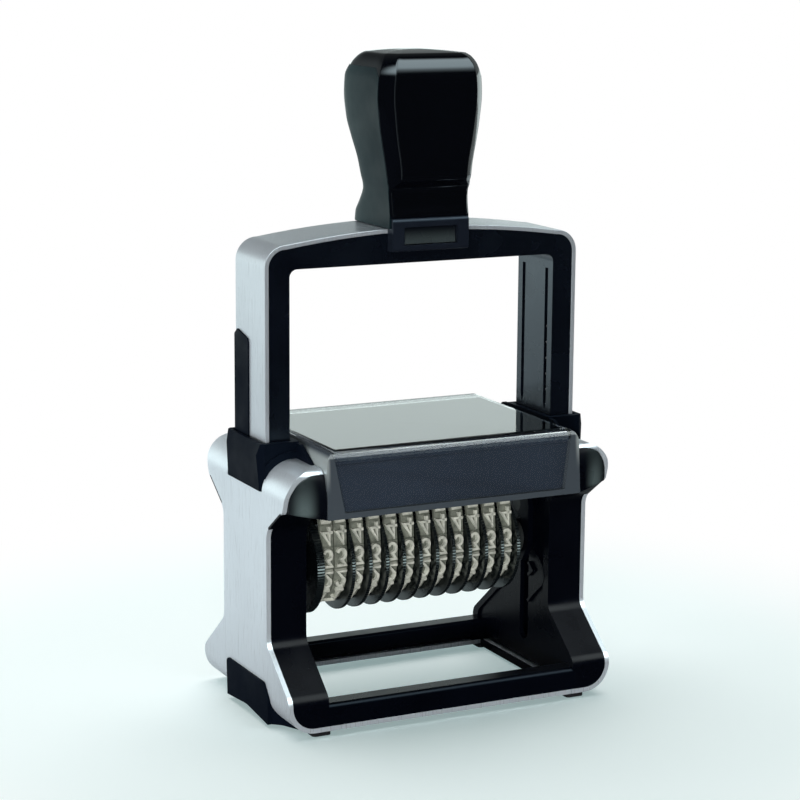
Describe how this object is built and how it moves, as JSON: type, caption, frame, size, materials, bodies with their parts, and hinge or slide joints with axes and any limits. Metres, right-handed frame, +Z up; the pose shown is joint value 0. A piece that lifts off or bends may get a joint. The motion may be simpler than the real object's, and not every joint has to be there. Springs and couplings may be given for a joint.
{
  "type": "numbering machine",
  "caption": "Hand-pressed self-inking numbering machine: thumb-set number bands turn over in a steel and black base.",
  "frame": {"origin": "bottom centre of the bounding box, on the table", "axes": "+Z up, front at -Y, +X to the viewer's right when seen from the front"},
  "size_m": [0.0916, 0.056, 0.1645],
  "materials": {
    "steel": "brushed",
    "black_plastic": "satin",
    "black_gloss": "gloss",
    "grey_plastic": "satin",
    "clear_plastic": "clear",
    "card": "printed card",
    "rubber": "matte",
    "band_rubber": "moulded, matte",
    "felt": "inked felt",
    "bright_steel": "bright"
  },
  "bodies": {
    "base": {"steel_frame": "steel", "housing_left": "black_plastic", "housing_right": "black_plastic", "front_bar": "black_plastic", "back_bar": "black_plastic", "collar_left": "black_plastic", "collar_right": "black_plastic", "foot_skirts": "black_plastic", "rubber_feet": "rubber", "top_cover": "clear_plastic", "index_card": "card", "pad_rail": "black_plastic", "return_spring_left": "bright_steel", "return_spring_right": "bright_steel"},
    "pad": {"pad_tray": "black_plastic", "ink_pad": "felt"},
    "arch": {"arch_band": "steel", "arch_liner": "black_gloss", "guide_ribs": "black_plastic", "pivot_pins": "bright_steel", "saddle_clip": "black_gloss", "handle_core": "black_gloss", "handle_cheek_left": "grey_plastic", "handle_cheek_right": "grey_plastic", "handle_panel": "black_gloss"},
    "lock": {"lock_button": "black_gloss"},
    "carriage": {"carriage_plate_left": "black_plastic", "carriage_plate_right": "black_plastic", "platen": "black_plastic", "wheel_axle": "bright_steel", "axle_spacer": "grey_plastic", "cam_rollers": "bright_steel", "band_01": "band_rubber", "band_02": "band_rubber", "band_03": "band_rubber", "band_04": "band_rubber", "band_05": "band_rubber", "band_06": "band_rubber", "band_07": "band_rubber", "band_08": "band_rubber", "band_09": "band_rubber", "band_10": "band_rubber", "band_11": "band_rubber", "band_12": "band_rubber"},
    "dial_01": {"wheel_01": "black_plastic"},
    "dial_02": {"wheel_02": "black_plastic"},
    "dial_03": {"wheel_03": "black_plastic"},
    "dial_04": {"wheel_04": "black_plastic"},
    "dial_05": {"wheel_05": "black_plastic"},
    "dial_06": {"wheel_06": "black_plastic"},
    "dial_07": {"wheel_07": "black_plastic"},
    "dial_08": {"wheel_08": "black_plastic"},
    "dial_09": {"wheel_09": "black_plastic"},
    "dial_10": {"wheel_10": "black_plastic"},
    "dial_11": {"wheel_11": "black_plastic"},
    "dial_12": {"wheel_12": "black_plastic"}
  },
  "joints": [
    {"name": "press", "type": "slide", "parent": "base", "child": "arch", "axis": [0, 0, -1], "range_m": [0, 0.0345], "stiffness_N_per_m": 250, "springref_m": -0.02, "deforming": ["return_spring_left", "return_spring_right"]},
    {"name": "flip", "type": "hinge", "parent": "arch", "child": "carriage", "pos_m": [0, 0, 0.04575], "axis": [-1, 0, 0], "range_deg": [0, 180]},
    {"name": "pad_slide", "type": "slide", "parent": "base", "child": "pad", "axis": [0, 1, 0], "range_m": [0, 0.034]},
    {"name": "lock", "type": "slide", "parent": "arch", "child": "lock", "axis": [0, 1, 0], "range_m": [0, 0.0009], "stiffness_N_per_m": 400, "springref_m": -0.001},
    {"name": "set_01", "type": "hinge", "parent": "carriage", "child": "dial_01", "pos_m": [0, 0, 0.037], "axis": [1, 0, 0], "continuous": true},
    {"name": "set_02", "type": "hinge", "parent": "carriage", "child": "dial_02", "pos_m": [0, 0, 0.037], "axis": [1, 0, 0], "continuous": true},
    {"name": "set_03", "type": "hinge", "parent": "carriage", "child": "dial_03", "pos_m": [0, 0, 0.037], "axis": [1, 0, 0], "continuous": true},
    {"name": "set_04", "type": "hinge", "parent": "carriage", "child": "dial_04", "pos_m": [0, 0, 0.037], "axis": [1, 0, 0], "continuous": true},
    {"name": "set_05", "type": "hinge", "parent": "carriage", "child": "dial_05", "pos_m": [0, 0, 0.037], "axis": [1, 0, 0], "continuous": true},
    {"name": "set_06", "type": "hinge", "parent": "carriage", "child": "dial_06", "pos_m": [0, 0, 0.037], "axis": [1, 0, 0], "continuous": true},
    {"name": "set_07", "type": "hinge", "parent": "carriage", "child": "dial_07", "pos_m": [0, 0, 0.037], "axis": [1, 0, 0], "continuous": true},
    {"name": "set_08", "type": "hinge", "parent": "carriage", "child": "dial_08", "pos_m": [0, 0, 0.037], "axis": [1, 0, 0], "continuous": true},
    {"name": "set_09", "type": "hinge", "parent": "carriage", "child": "dial_09", "pos_m": [0, 0, 0.037], "axis": [1, 0, 0], "continuous": true},
    {"name": "set_10", "type": "hinge", "parent": "carriage", "child": "dial_10", "pos_m": [0, 0, 0.037], "axis": [1, 0, 0], "continuous": true},
    {"name": "set_11", "type": "hinge", "parent": "carriage", "child": "dial_11", "pos_m": [0, 0, 0.037], "axis": [1, 0, 0], "continuous": true},
    {"name": "set_12", "type": "hinge", "parent": "carriage", "child": "dial_12", "pos_m": [0, 0, 0.037], "axis": [1, 0, 0], "continuous": true}
  ],
  "couplings": [
    {"joint": "flip", "follows": "press", "rad_per_m": 91.06}
  ]
}
